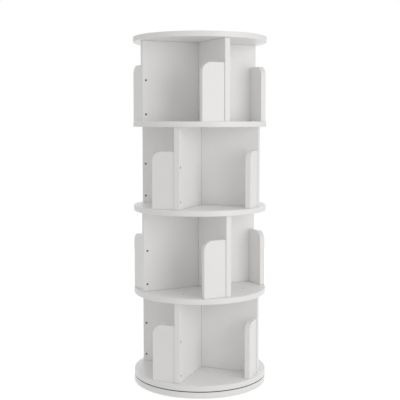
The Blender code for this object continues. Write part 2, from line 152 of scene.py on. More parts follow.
def new_finish(name, roughness, metallic=0.0):
    """A material, its node tree, and a socket that gives the place on the object."""
    finish = bpy.data.materials.new(name)
    finish.use_nodes = True
    shader = finish.node_tree.nodes["Principled BSDF"]
    shader.inputs["Roughness"].default_value = roughness
    shader.inputs["Metallic"].default_value = metallic
    return finish, finish.node_tree, add_node(finish.node_tree, "ShaderNodeTexCoord").outputs["Object"]


def patterned(finish, dark, light, tone, fine=None, relief_mm=0.0, gloss_spread=0.0):
    """Lets a tone move the colour, and a fine pattern, or else the tone, move the relief and the gloss."""
    tree = finish.node_tree
    shader = tree.nodes["Principled BSDF"]
    fine = tone if fine is None else fine
    ends = {FIRST_COLOUR: linear(dark), SECOND_COLOUR: linear(light)}
    colour = add_node(tree, "ShaderNodeMix", {"Factor": tone, **ends}, data_type="RGBA")
    tree.links.new(colour.outputs[MIXED_COLOUR], shader.inputs["Base Color"])
    if relief_mm:
        relief = add_node(tree, "ShaderNodeBump", {"Height": fine, "Distance": relief_mm * MM})
        tree.links.new(relief.outputs[0], shader.inputs["Normal"])
    if gloss_spread:
        middle = shader.inputs["Roughness"].default_value
        ends = {"To Min": middle - gloss_spread, "To Max": middle + gloss_spread}
        gloss = add_node(tree, "ShaderNodeMapRange", {"Value": fine, **ends})
        tree.links.new(gloss.outputs[0], shader.inputs["Roughness"])
    print("Finish:", finish.name, "with", len(tree.nodes), "nodes")
    return finish


def mottled_finish(name, dark, light, sizes_mm, roughness, metallic=0.0, **relief_and_gloss):
    """A finish that follows one noise, stretched to the three sizes given."""
    finish, tree, place = new_finish(name, roughness, metallic)
    stretch = [1 / (size * MM) for size in sizes_mm]
    stretched = add_node(tree, "ShaderNodeMapping", {"Vector": place, "Scale": stretch})
    noise = add_node(tree, "ShaderNodeTexNoise", {"Vector": stretched, "Scale": 1.0})
    return patterned(finish, dark, light, noise, **relief_and_gloss)


# %% [markdown]
# The boards are chipboard faced with white melamine paper. The paper is pressed against a steel plate
# under heat, and the plate's fine pearl texture stays in the resin. To the eye that gives a satin white
# that never mirrors anything, with a tone that wanders by one or two parts in a hundred. A plain colour
# would look like plastic. Here a slow noise moves the tone, a noise stretched along the board gives the
# faint lengthwise streaks of the paper, and a fine noise raises the pearl.
#
# The real pearl is about 0.4 mm across, too fine for a picture of the whole bookcase, so it is drawn at
# 1.6 mm. The streaks run up the upright boards and straight across the round ones, so there are two
# finishes that differ only in the way that the streaks are stretched.

# %% Melamine faced board
BOARD_LIGHT = "#F5F4F3"
BOARD_DARK = "#EFEEED"
BOARD_ROUGHNESS = 0.46
BOARD_GLOSS_SPREAD = 0.05
MOTTLE_MM = 85
STREAK_WIDTH_MM = 3.2
STREAK_LENGTH_MM = 150
PEARL_MM = 1.6
PEARL_HEIGHT_MM = 0.02
STREAK_SHARE = 0.45


def melamine_board(name, streak_mm):
    """White melamine faced board, with the paper's streaks stretched to the three lengths given."""
    finish, tree, place = new_finish(name, BOARD_ROUGHNESS)
    mottle = add_node(tree, "ShaderNodeTexNoise", {"Vector": place, "Scale": 1 / (MOTTLE_MM * MM)})
    stretch = [1 / (length * MM) for length in streak_mm]
    along = add_node(tree, "ShaderNodeMapping", {"Vector": place, "Scale": stretch})
    streak = add_node(tree, "ShaderNodeTexNoise", {"Vector": along, "Scale": 1.0})
    tone = add_node(tree, "ShaderNodeMix", {"Factor": STREAK_SHARE, "A": mottle, "B": streak})
    pearl = add_node(tree, "ShaderNodeTexNoise", {"Vector": place, "Scale": 1 / (PEARL_MM * MM)})
    return patterned(finish, BOARD_DARK, BOARD_LIGHT, tone, pearl, PEARL_HEIGHT_MM, BOARD_GLOSS_SPREAD)


upward_streaks = (STREAK_WIDTH_MM, STREAK_WIDTH_MM, STREAK_LENGTH_MM)
level_streaks = (STREAK_LENGTH_MM, STREAK_WIDTH_MM, STREAK_WIDTH_MM)
upright_melamine = melamine_board("white_melamine_upright", upward_streaks)
level_melamine = melamine_board("white_melamine_level", level_streaks)

# %% [markdown]
# The sawn edges of faced board show their chips, so they are covered with a band of white ABS plastic,
# two millimetres thick. It is extruded, glued on hot, then trimmed flush and rounded over by a cutter.
# The cutter leaves very slight waves along the band, and the plastic is a little glossier than the
# paper beside it. The waves are a bump of long noise, because their light matters and not their shape.

# %% ABS edge band
CUTTER_WAVE_MM = 14
CUTTER_WAVE_HEIGHT_MM = 0.03

abs_edge_band = mottled_finish(
    "white_abs_edge_band",
    "#EFEEED",
    "#F3F2F1",
    (CUTTER_WAVE_MM,) * 3,
    roughness=0.38,
    relief_mm=CUTTER_WAVE_HEIGHT_MM,
)

# %% [markdown]
# The screws are steel, zinc plated and then passivated black. The bath leaves the plating a touch
# uneven, so its gloss goes up and down in patches about as wide as the socket. As a metal it has no
# colour beside its reflection, so the base colour is the dark grey of what it throws back.

# %% Black zinc plated steel
ZINC_PATCH_MM = 2.5

black_zinc = mottled_finish(
    "black_zinc_plated_steel",
    "#48494C",
    "#5E5F62",
    (ZINC_PATCH_MM,) * 3,
    roughness=0.4,
    metallic=1.0,
    gloss_spread=0.08,
)

# %% [markdown]
# The bearing's two rings are aluminium, turned on a lathe. The tool leaves a fine spiral on them that
# reads as circles round the axis, and a ring wave centred on the axis draws just that. The real feed is
# about 0.2 mm a turn, and it is drawn at 0.8 mm so that it shows at all.

# %% Turned aluminium
TURNING_FEED_MM = 0.8
TURNING_DEPTH_MM = 0.008
WAVE_TEXTURE_PERIOD = math.pi / 10

turned_aluminium, tree, place = new_finish("turned_aluminium", roughness=0.3, metallic=1.0)
lathe_marks = add_node(
    tree,
    "ShaderNodeTexWave",
    {"Vector": place, "Scale": WAVE_TEXTURE_PERIOD / (TURNING_FEED_MM * MM)},
    wave_type="RINGS",
    rings_direction="Z",
)
tone = lathe_marks.outputs["Fac"]
patterned(turned_aluminium, "#CDCED1", "#D8D9DB", tone, relief_mm=TURNING_DEPTH_MM)

# %% [markdown]
# Four small finishes are left. The balls are chrome steel, lapped until they mirror, with only a haze of
# grease. Their cage is natural nylon, moulded, which is cream and dull. The dowels are beech, cut along
# the grain, with darker flecks a few millimetres long. The foot pads are moulded rubber, nearly black,
# with the fine spark texture of their mould. Each is a few values for the function above.

# %% Chrome steel, nylon, beech and rubber
# Lapped and greased: a mirror with a faint haze.
chrome_steel = mottled_finish(
    "lapped_chrome_steel", "#C4C5C8", "#D2D3D5", (1.5, 1.5, 1.5), roughness=0.12, metallic=1.0
)
# Moulded without pigment: cream, dull and a little cloudy.
moulded_nylon = mottled_finish(
    "moulded_nylon", "#DCD7C6", "#E6E2D4", (4, 4, 4), roughness=0.5, relief_mm=0.01
)
# Planed along the grain, which runs level: pinkish brown with longer, darker flecks.
beech = mottled_finish(
    "bare_beech", "#B98B62", "#D3AC82", (2.5, 2.5, 0.5), roughness=0.65, relief_mm=0.03
)
# Moulded in a sparked steel mould: nearly black and dry to the eye.
moulded_rubber = mottled_finish(
    "moulded_rubber", "#151515", "#222222", (0.9, 0.9, 0.9), roughness=0.8, relief_mm=0.05
)

# %% [markdown]
# Now the sizes. A round board's box gives its radius and its two faces. An upright board is turned about
# the axis, so its box says little. But its broadest face says which way it looks, and turning its corners
# back by that angle gives its sizes along the arm, across it and up. In that view, called the arm's frame
# below, the arm runs along X from the axis and the fence stands on the side of falling Y.

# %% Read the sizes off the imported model
def outward_angle(node):
    """The way that a board's broadest face looks, as an angle about the axis, away from it."""
    broadest = max(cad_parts[node].data.polygons, key=lambda face: face.area)
    way = broadest.normal if broadest.normal.dot(broadest.center) > 0 else -broadest.normal
    return math.atan2(way.y, way.x)


def points_of(node, angle=0.0):
    """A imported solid's points, in the frame of an arm at that angle."""
    turned_back = Matrix.Rotation(-angle, 3, "Z")
    return [turned_back @ vertex.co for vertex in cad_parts[node].data.vertices]


def sizes_from_arm(node, angle):
    """A node's lowest and highest corner, in the frame of an arm at that angle."""
    points = np.array(points_of(node, angle))
    return Vector(points.min(axis=0)), Vector(points.max(axis=0))


TURNING_BOARDS = ("bottom_shelf", "shelf_2", "shelf_3", "shelf_4", "top_board")
TIERS = range(1, len(TURNING_BOARDS))
ARMS = (1, 2, 3, 4)
LONG_PANEL_ARM = 1
LEFT_PANEL_ARM = 2
RIGHT_PANEL_ARM = 4
FRONT_DEGREES = -90

arm_angle = {(tier, arm): outward_angle(f"tier_{tier}_fence_{arm}") for tier in TIERS for arm in ARMS}
tier_floor = {tier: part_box(TURNING_BOARDS[tier - 1])[1].z for tier in TIERS}
tier_ceiling = {tier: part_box(TURNING_BOARDS[tier])[0].z for tier in TIERS}
case_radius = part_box("top_board")[1].x
board_thickness = tier_floor[2] - tier_ceiling[1]
fence_low, fence_high = sizes_from_arm("tier_1_fence_1", arm_angle[1, 1])
panel_high = sizes_from_arm("tier_1_right_half_panel", arm_angle[1, RIGHT_PANEL_ARM])[1]
seat_gap = fence_low.z - tier_floor[1]
fence_middle = (fence_low.x + fence_high.x) / 2
fence_thickness = fence_high.x - fence_low.x
panel_thickness = 2 * panel_high.y
clear_height = tier_ceiling[1] - tier_floor[1]
print("Case radius and tier height in mm:", rounded((case_radius / MM, clear_height / MM), 1))
print("Fence thickness and reach in mm:", rounded((fence_thickness / MM, -fence_low.y / MM), 1))
tier_turns = [math.degrees(arm_angle[tier, 1]) - FRONT_DEGREES for tier in TIERS]
print("Turn of each tier in degrees:", rounded(tier_turns, 1))

# %% [markdown]
# Shapes are grown by trees of Geometry Nodes where a rule makes them. Four helpers do the handling. The
# first makes an empty tree with named inputs. The second ends a tree, with real geometry in place of
# instances and with its finishes on. The third runs a tree on a mesh, which may be only an outline or a
# few points, and hands back the plain mesh that comes out. It finds each input by its identifier,
# because two sockets can share a name, and sets it before the tree first runs. The fourth draws an
# outline as a mesh of edges, from points of radius and height.

# %% Helpers for Geometry Nodes
def new_tree(name, sizes):
    """An empty tree that takes and gives geometry. Returns it with its input sockets by name."""
    tree = bpy.data.node_groups.new(name, "GeometryNodeTree")
    tree.interface.new_socket("Geometry", in_out="OUTPUT", socket_type="NodeSocketGeometry")
    tree.interface.new_socket("Geometry", in_out="INPUT", socket_type="NodeSocketGeometry")
    for label, kind in sizes.items():
        tree.interface.new_socket(label, in_out="INPUT", socket_type=f"NodeSocket{kind}")
    return tree, add_node(tree, "NodeGroupInput").outputs


def end_tree(tree, made, finishes):
    """Ends a tree. Each finish comes with the faces that it goes on, or with True for all of them."""
    made = add_node(tree, "GeometryNodeRealizeInstances", {0: made})
    for finish, chosen in finishes:
        dressed = {"Geometry": made, "Selection": chosen, "Material": finish}
        made = add_node(tree, "GeometryNodeSetMaterial", dressed)
    add_node(tree, "NodeGroupOutput", {0: made})
    print("Tree:", tree.name, "with", len(tree.nodes), "nodes")


def run_tree(tree, mesh, values):
    """The plain mesh that a tree makes of this one, with its inputs set to these values."""
    carrier = scene_object(mesh)
    modifier = carrier.modifiers.new(tree.name, "NODES")
    modifier.node_group = tree
    for socket in tree.interface.items_tree:
        if socket.in_out == "INPUT" and socket.name in values:
            modifier[socket.identifier] = values[socket.name]
    graph = bpy.context.evaluated_depsgraph_get()
    grown = bpy.data.meshes.new_from_object(carrier.evaluated_get(graph))
    carrier.modifiers.remove(modifier)
    bpy.data.objects.remove(carrier)
    return grown


def outline_mesh(points, closed=False):
    """Points of radius and height, joined in a row, or in a ring if closed."""
    mesh = bpy.data.meshes.new("outline")
    edges = [(index, index + 1) for index in range(len(points) - 1)]
    if closed:
        edges.append((len(points) - 1, 0))
    mesh.from_pydata([(radius, 0, height) for radius, height in points], edges, [])
    return mesh


# %% [markdown]
# The main pieces of this object are turned: every round board, and inside them the bearing, the screws
# and the pads. So the first tree is a lathe. It takes an outline that runs down the outer side of the
# piece and sweeps it round a circle. A sweep lays the outline's X away from the circle and its Y
# downwards, so the tree first moves each point to suit. Faces outside a given radius get the second
# finish, which is how a round board gets its edge band.

# %% A lathe as a tree
PATH_RADIUS = 0.01
WELD_DISTANCE = 0.000001


def about_axis(tree):
    """A point's three coordinates, and its place with the height taken out."""
    place = add_node(tree, "GeometryNodeInputPosition")
    level = add_node(tree, "ShaderNodeVectorMath", {0: place, 1: (1, 1, 0)}, operation="MULTIPLY")
    return add_node(tree, "ShaderNodeSeparateXYZ", {0: place}).outputs, level


lathe, size = new_tree(
    "turned_piece",
    {"Steps": "Int", "Band Radius": "Float", "Face Finish": "Material", "Band Finish": "Material"},
)
axes, level = about_axis(lathe)
outward = add_node(lathe, "ShaderNodeMath", {0: axes["X"], 1: PATH_RADIUS}, operation="SUBTRACT")
downward = add_node(lathe, "ShaderNodeMath", {0: axes["Z"], 1: -1.0}, operation="MULTIPLY")
laid = add_node(lathe, "ShaderNodeCombineXYZ", {"X": outward, "Y": downward})
outline = add_node(lathe, "GeometryNodeMeshToCurve", {0: size["Geometry"]})
profile = add_node(lathe, "GeometryNodeSetPosition", {"Geometry": outline, "Position": laid})
circle = {"Resolution": size["Steps"], "Radius": PATH_RADIUS}
path = add_node(lathe, "GeometryNodeCurvePrimitiveCircle", circle)
swept = add_node(lathe, "GeometryNodeCurveToMesh", {"Curve": path, "Profile Curve": profile})
whole = add_node(lathe, "GeometryNodeMergeByDistance", {"Geometry": swept, "Distance": WELD_DISTANCE})
reach = add_node(lathe, "ShaderNodeVectorMath", {0: level}, operation="LENGTH").outputs["Value"]
banded = add_node(lathe, "FunctionNodeCompare", {0: reach, 1: size["Band Radius"]})
end_tree(lathe, whole, [(size["Face Finish"], True), (size["Band Finish"], banded)])

# %% Turn a piece
# A radius wider than any piece here.
NO_BAND = 1.0


def turned_mesh(points, steps, finish, band_finish=None, band_radius=NO_BAND, closed=False):
    """A turned piece. Its points run down the outer side, and faces past the band's radius are band."""
    values = {
        "Steps": steps,
        "Band Radius": band_radius,
        "Face Finish": finish,
        "Band Finish": band_finish or finish,
    }
    return run_tree(lathe, outline_mesh(points, closed), values)


def pin_mesh(radius, top, bottom, steps, finish):
    """A plain round pin, to drill with."""
    return turned_mesh([(0, top), (radius, top), (radius, bottom), (0, bottom)], steps, finish)


def sleeve_mesh(wide, narrow, top, bottom, steps, finish):
    """A plain sleeve, from its outer to its inner radius."""
    corners = [(wide, top), (wide, bottom), (narrow, bottom), (narrow, top)]
    return turned_mesh(corners, steps, finish, closed=True)


# %% [markdown]
# Many small things here come in sets: sixteen fences, sixty-four assembly screws, eight dowels, twelve
# balls. Each set becomes one mesh, grown by a tree that puts a copy of a master at every point of a
# small mesh of points. A point carries its turn with it, as three Euler angles. A screw also stops
# wherever its thread bit last, so the tree can add a random twist about the copy's own axis, with a
# fixed seed. Faces that the master marks as banded get the second finish.

# %% A tree that sets copies at places
RANDOM_FLOAT_MIN, RANDOM_FLOAT_MAX, RANDOM_FLOAT = 2, 3, 1


def stored_turn(tree):
    """The rotation that each point carries with it."""
    turn = add_node(tree, "GeometryNodeInputNamedAttribute", {"Name": "turn"}, data_type="FLOAT_VECTOR")
    return add_node(tree, "FunctionNodeEulerToRotation", {0: turn})


copier, size = new_tree(
    "copies_at_places",
    {
        "Master": "Object",
        "Most Twist": "Float",
        "Twist Seed": "Int",
        "Face Finish": "Material",
        "Band Finish": "Material",
    },
)
limits = {RANDOM_FLOAT_MIN: 0.0, RANDOM_FLOAT_MAX: size["Most Twist"], "Seed": size["Twist Seed"]}
chance = add_node(copier, "FunctionNodeRandomValue", limits).outputs[RANDOM_FLOAT]
twist = add_node(copier, "FunctionNodeAxisAngleToRotation", {"Angle": chance})
turns = {0: stored_turn(copier), 1: twist}
stance = add_node(copier, "FunctionNodeRotateRotation", turns, rotation_space="LOCAL")
master = add_node(copier, "GeometryNodeObjectInfo", {"Object": size["Master"], "As Instance": True})
copies = add_node(
    copier,
    "GeometryNodeInstanceOnPoints",
    {"Points": size["Geometry"], "Instance": master.outputs["Geometry"], "Rotation": stance},
)
banded = add_node(copier, "GeometryNodeInputNamedAttribute", {"Name": "banded"}, data_type="BOOLEAN")
end_tree(copier, copies, [(size["Face Finish"], True), (size["Band Finish"], banded)])

# %% Places and copies
SHARP_ANGLE = math.radians(30)
MOST_CORNERS = 4


def shaded(mesh):
    """Smooth shading, with true corners kept sharp, and broad faces split into even triangles."""
    work = bmesh.new()
    work.from_mesh(mesh)
    broad_faces = [face for face in work.faces if len(face.verts) > MOST_CORNERS]
    bmesh.ops.triangulate(work, faces=broad_faces, ngon_method="BEAUTY")
    work.to_mesh(mesh)
    work.free()
    mesh.shade_smooth()
    mesh.set_sharp_from_angle(angle=SHARP_ANGLE)
    return mesh


def places_mesh(places):
    """One point for each place, a matrix, with the place's turn kept beside it."""
    mesh = bpy.data.meshes.new("places")
    mesh.from_pydata([place.translation for place in places], [], [])
    turn = mesh.attributes.new("turn", "FLOAT_VECTOR", "POINT")
    for point, place in zip(turn.data, places):
        point.vector = place.to_euler()
    return mesh


def copies_mesh(master_mesh, places, finish, band_finish=None, most_twist=0.0, seed=1):
    """One mesh with a copy of the master at every place."""
    master = scene_object(master_mesh)
    values = {
        "Master": master,
        "Most Twist": most_twist,
        "Twist Seed": seed,
        "Face Finish": finish,
        "Band Finish": band_finish or finish,
    }
    made = run_tree(copier, places_mesh(places), values)
    bpy.data.objects.remove(master)
    return shaded(made)


# %% [markdown]
# Holes are drilled by a third tree. It sets a drill at every place, cuts them all from the board in one
# Boolean, and gives the walls of the cuts a finish of their own. In faced board that is bare chipboard:
# flakes of poplar and spruce a few millimetres long, pressed with resin, pale and rough. Only a thin
# ring of it shows round each screw head, but that ring is what makes the head look let in. The cut
# faces keep a mark that the drill carries, so that the tree can find them after the Boolean.

# %% Bare chipboard
CHIP_MM = (3.5, 1.2, 1.2)

bare_chipboard = mottled_finish(
    "bare_chipboard", "#D3C8B4", "#EFE7D8", CHIP_MM, roughness=0.85, relief_mm=0.3
)

# %% A tree that drills
driller, size = new_tree("drilled_piece", {"Drill": "Object", "Places": "Object", "Cut Finish": "Material"})
drill = add_node(driller, "GeometryNodeObjectInfo", {"Object": size["Drill"]})
marked = add_node(
    driller,
    "GeometryNodeStoreNamedAttribute",
    {"Geometry": drill.outputs["Geometry"], "Name": "cut", "Value": True},
    data_type="BOOLEAN",
    domain="FACE",
)
spots = add_node(driller, "GeometryNodeObjectInfo", {"Object": size["Places"]})
drills = add_node(
    driller,
    "GeometryNodeInstanceOnPoints",
    {"Points": spots.outputs["Geometry"], "Instance": marked, "Rotation": stored_turn(driller)},
)
real_drills = add_node(driller, "GeometryNodeRealizeInstances", {0: drills})
cut_out = add_node(
    driller,
    "GeometryNodeMeshBoolean",
    {"Mesh 1": size["Geometry"], "Mesh 2": real_drills},
    operation="DIFFERENCE",
    solver="EXACT",
)
cut = add_node(driller, "GeometryNodeInputNamedAttribute", {"Name": "cut"}, data_type="BOOLEAN")
end_tree(driller, cut_out, [(size["Cut Finish"], cut)])

# %% Drill a piece
# A drill whose corners meet the piece's own edges would leave slivers, so each is twisted a little.
DRILL_TWIST = Matrix.Rotation(math.radians(1.3), 4, "Z")


def drilled_mesh(mesh, drill_mesh, places, finish=bare_chipboard):
    """A piece with the drill's shape cut out of it at every place."""
    drill = scene_object(drill_mesh)
    spots = scene_object(places_mesh([place @ DRILL_TWIST for place in places]))
    made = run_tree(driller, mesh, {"Drill": drill, "Places": spots, "Cut Finish": finish})
    bpy.data.objects.remove(drill)
    bpy.data.objects.remove(spots)
    return made


# %% [markdown]
# The upright boards, panels and fences alike, are plates cut from faced board. Their edges are eased by
# a cutter to a radius of 0.7 mm, and their corners are rounded a little, or a lot where the fence's
# outer top corner is. A bevel modifier would give the roundings but not the joint line of the edge band,
# which shows on the broad face two millimetres in. So a plate is laid up from rings: its outline drawn
# smaller or fuller at each depth, and each ring joined to the next. A short flat step on both sides of
# every rounding keeps the smooth shading from creeping out over the flats.

# %% Rounded corners
LEAST_CORNER = 0.05 * MM
FLAT_STEP = 0.2 * MM
QUARTER = math.pi / 2


def corner_points(corner, quadrant, radius, inset, steps):
    """A rounded right corner of an outline, set in by an inset, with a short flat step at each end."""
    tightened = max(radius - inset, LEAST_CORNER)
    first = quadrant * QUARTER
    diagonal = first + QUARTER / 2
    inwards = Vector((-math.copysign(1, math.cos(diagonal)), -math.copysign(1, math.sin(diagonal))))
    centre = Vector(corner) + inwards * (inset + tightened)
    rays = [first + QUARTER * step / steps for step in range(steps + 1)]
    points = [centre + tightened * Vector((math.cos(ray), math.sin(ray))) for ray in rays]
    before = points[0] + FLAT_STEP * Vector((math.sin(rays[0]), -math.cos(rays[0])))
    after = points[-1] + FLAT_STEP * Vector((-math.sin(rays[-1]), math.cos(rays[-1])))
    return [before, *points, after]


# %% Eased plates
EDGE_EASE = 0.7 * MM
CORNER_EASE = 1.0 * MM
BAND_THICKNESS = 2 * MM
EASE_STEPS = 3
BIG_CORNER_STEPS = 24
# Quadrants are counted from positive X, and a plate's corners start at low X and low Z.
CORNER_QUADRANTS = (2, 3, 0, 1)
BAND_MATERIAL = 1


def eased_plate(low, high, thickness, big_corner=0.0):
    """A plate in the XZ plane, centred on Y. Its corner at high X and high Z may have a large radius."""
    corners = [(low[0], low[1]), (high[0], low[1]), (high[0], high[1]), (low[0], high[1])]
    arc = [QUARTER * step / EASE_STEPS for step in range(EASE_STEPS + 1)]
    rounding = [(EDGE_EASE * (1 - math.cos(ray)), EDGE_EASE * (1 - math.sin(ray))) for ray in arc]
    half_rings = [(0.0, BAND_THICKNESS), (0.0, EDGE_EASE + FLAT_STEP), *rounding]
    half_rings.append((EDGE_EASE + FLAT_STEP, 0.0))
    rings = [(depth - thickness / 2, inset) for depth, inset in half_rings]
    rings += [(-depth, inset) for depth, inset in reversed(rings)]
    work = bmesh.new()
    loops = []
    for depth, inset in rings:
        loop = []
        for quadrant, corner in zip(CORNER_QUADRANTS, corners):
            is_big = quadrant == 0 and big_corner
            radius, steps = (big_corner, BIG_CORNER_STEPS) if is_big else (CORNER_EASE, EASE_STEPS)
            loop += [(x, depth, z) for x, z in corner_points(corner, quadrant, radius, inset, steps)]
        loops.append([work.verts.new(point) for point in loop])
    count = len(loops[0])
    banded = work.faces.layers.bool.new("banded")
    for near, far in zip(loops, loops[1:]):
        for index in range(count):
            after = (index + 1) % count
            strip = work.faces.new((near[index], near[after], far[after], far[index]))
            strip[banded] = True
            strip.material_index = BAND_MATERIAL
    work.faces.new(reversed(loops[0]))
    work.faces.new(loops[-1])
    bmesh.ops.recalc_face_normals(work, faces=work.faces)
    mesh = bpy.data.meshes.new("eased_plate")
    work.to_mesh(mesh)
    work.free()
    mesh.materials.append(upright_melamine)
    mesh.materials.append(abs_edge_band)
    return mesh


# %% Add a piece to the scene
def add_piece(name, mesh, body, replaced):
    """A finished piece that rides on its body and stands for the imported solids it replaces."""
    piece = scene_object(mesh)
    piece.name = name
    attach(piece, body)
    if replaced:
        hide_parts(*replaced)
    print("Piece:", name, "with", len(mesh.polygons), "faces, for", len(replaced), "solids")


# %% [markdown]
# Where are the screws? Each fence's solid carries the two that come through its panel, and each panel's
# solid the ones that come through the round boards. Their heads are what lies farthest out in one known
# direction: across the arm for a fence, and up or down for a panel. So the farthest points of a solid,
# sorted into groups, give the middles of the heads, and that direction gives the way that they look.

# %% Find the screw heads
SAME_HEAD = 20 * MM
SAME_LEVEL = 0.01 * MM
ARM_TURN = {key: Matrix.Rotation(angle, 4, "Z") for key, angle in arm_angle.items()}
PANEL_ARMS = {"long": LONG_PANEL_ARM, "left_half": LEFT_PANEL_ARM, "right_half": RIGHT_PANEL_ARM}
UP = Vector((0, 0, 1))


def looking(point, way):
    """A place at that point whose own Z looks along the way given."""
    return Matrix.Translation(point) @ way.to_track_quat("Z", "Y").to_matrix().to_4x4()


def head_places(node, way):
    """Where the screw heads lie that stand farthest out of a solid in one direction, and look that way."""
    points = points_of(node)
    farthest = max(point.dot(way) for point in points) - SAME_LEVEL
    heads = []
    for point in (point for point in points if point.dot(way) > farthest):
        near = [head for head in heads if (head[0] - point).length < SAME_HEAD]
        if near:
            near[0].append(point)
        else:
            heads.append([point])
    middles = [(Vector(np.min(head, axis=0)) + Vector(np.max(head, axis=0))) / 2 for head in heads]
    return [looking(middle, way) for middle in middles]


across_arm = {key: turn.to_3x3() @ Vector((0, 1, 0)) for key, turn in ARM_TURN.items()}
fence_screws = []
for (tier, arm), across in across_arm.items():
    fence_screws += head_places(f"tier_{tier}_fence_{arm}", across)
board_screws = []
for tier in TIERS:
    for panel in PANEL_ARMS:
        board_screws += head_places(f"tier_{tier}_{panel}_panel", UP)
        board_screws += head_places(f"tier_{tier}_{panel}_panel", -UP)
print("Screws through panels:", len(fence_screws), "and through round boards:", len(board_screws))

# %% [markdown]
# All the screws are the countersunk kind for chipboard, with a hexagon socket: a long coarse thread, a
# plain neck and a flat head. The thread is a shape with a rule, a ridge whose height depends on how far
# up and how far round a point is. So this tree turns the plain core on the lathe above, used as a group,
# and then lifts each point of the wall by a wave that winds once round for each pitch. Last it sinks the
# socket with a six-sided key, turned a little so that no corner of it meets an edge of the head.

# %% A turned core, and its wall moved
def turned_core(tree, size, steps):
    """What the lathe makes in another tree, the height of each point on it, its way out and its angle."""
    inputs = {
        "Geometry": size["Geometry"],
        "Steps": steps,
        "Band Radius": NO_BAND,
        "Face Finish": size["Finish"],
        "Band Finish": size["Finish"],
    }
    core = add_node(tree, "GeometryNodeGroup", inputs, node_tree=lathe)
    axes, level = about_axis(tree)
    angle = add_node(tree, "ShaderNodeMath", {0: axes["Y"], 1: axes["X"]}, operation="ARCTAN2")
    return core, axes["Z"], level, angle


def pushed_out(tree, made, level, distance, chosen=True):
    """A shape with its chosen points moved straight out from the axis."""
    outwards = add_node(tree, "ShaderNodeVectorMath", {0: level}, operation="NORMALIZE")
    offset = add_node(tree, "ShaderNodeVectorMath", {0: outwards, "Scale": distance}, operation="SCALE")
    inputs = {"Geometry": made, "Selection": chosen, "Offset": offset}
    return add_node(tree, "GeometryNodeSetPosition", inputs)


# %% A tree for screws
SCREW_STEPS = 16
HALF_A_TURN = 0.5
RIDGE_FOOT = 0.2
RIDGE_CREST = 0.4
SOCKET_SIDES = 6
KEY_TURN = (0, 0, math.radians(5))
ABOVE_AND_BELOW = 2.0

threader, size = new_tree(
    "threaded_screw",
    {
        "Pitch": "Float",
        "Ridge": "Float",
        "Thread Top": "Float",
        "Thread End": "Float",
        "Socket Radius": "Float",
        "Socket Depth": "Float",
        "Finish": "Material",
    },
)
core, height, level, angle = turned_core(threader, size, SCREW_STEPS)
turns_round = add_node(threader, "ShaderNodeMath", {0: angle, 1: math.tau}, operation="DIVIDE")
turns_up = add_node(threader, "ShaderNodeMath", {0: height, 1: size["Pitch"]}, operation="DIVIDE")
winding = add_node(threader, "ShaderNodeMath", {0: turns_up, 1: turns_round}, operation="SUBTRACT")
slope = add_node(threader, "ShaderNodeMath", {0: winding, 1: HALF_A_TURN}, operation="PINGPONG")
lift = add_node(
    threader,
    "ShaderNodeMapRange",
    {"Value": slope, "From Min": RIDGE_FOOT, "From Max": RIDGE_CREST, "To Max": size["Ridge"]},
)
neck_end = {0: height, 1: size["Thread Top"]}
below_neck = add_node(threader, "FunctionNodeCompare", neck_end, operation="LESS_THAN")
above_end = add_node(threader, "FunctionNodeCompare", {0: height, 1: size["Thread End"]})
on_thread = add_node(threader, "FunctionNodeBooleanMath", {0: below_neck, 1: above_end})
thread = pushed_out(threader, core, level, lift, on_thread)
both_ways = {0: size["Socket Depth"], 1: ABOVE_AND_BELOW}
key_length = add_node(threader, "ShaderNodeMath", both_ways, operation="MULTIPLY")
key = add_node(
    threader,
    "GeometryNodeMeshCylinder",
    {"Vertices": SOCKET_SIDES, "Radius": size["Socket Radius"], "Depth": key_length},
    fill_type="NGON",
)
turned_key = add_node(threader, "GeometryNodeTransform", {"Geometry": key, "Rotation": KEY_TURN})
socketed = add_node(
    threader,
    "GeometryNodeMeshBoolean",
    {"Mesh 1": thread, "Mesh 2": turned_key},
    operation="DIFFERENCE",
    solver="EXACT",
)
end_tree(threader, socketed, [(size["Finish"], True)])

# %% [markdown]
# Two sizes of screw are made, each with the drill for its hole. In the photograph a head is only a dot,
# about two pixels wide. A head of the right width takes as much light out of the picture as that dot
# does, and for black zinc that comes to seven millimetres, a usual size for a screw of this thickness.
# The dots all but fade where their panel is seen at a slant. So the heads don't lie level with the face
# but two millimetres down, where the pale wall of the hole comes before them.

# %% Make the two kinds of screw, and their drills
SAMPLES_PER_PITCH = 5
NECK_SHARE = 0.3
POINT_SHARE = 0.92
CORE_SHARE = 0.68
HEAD_LAND = 0.3 * MM
HOLE_CLEARANCE = 0.2 * MM
HOLE_OVERRUN = 2 * MM
HOLE_STEPS = 32


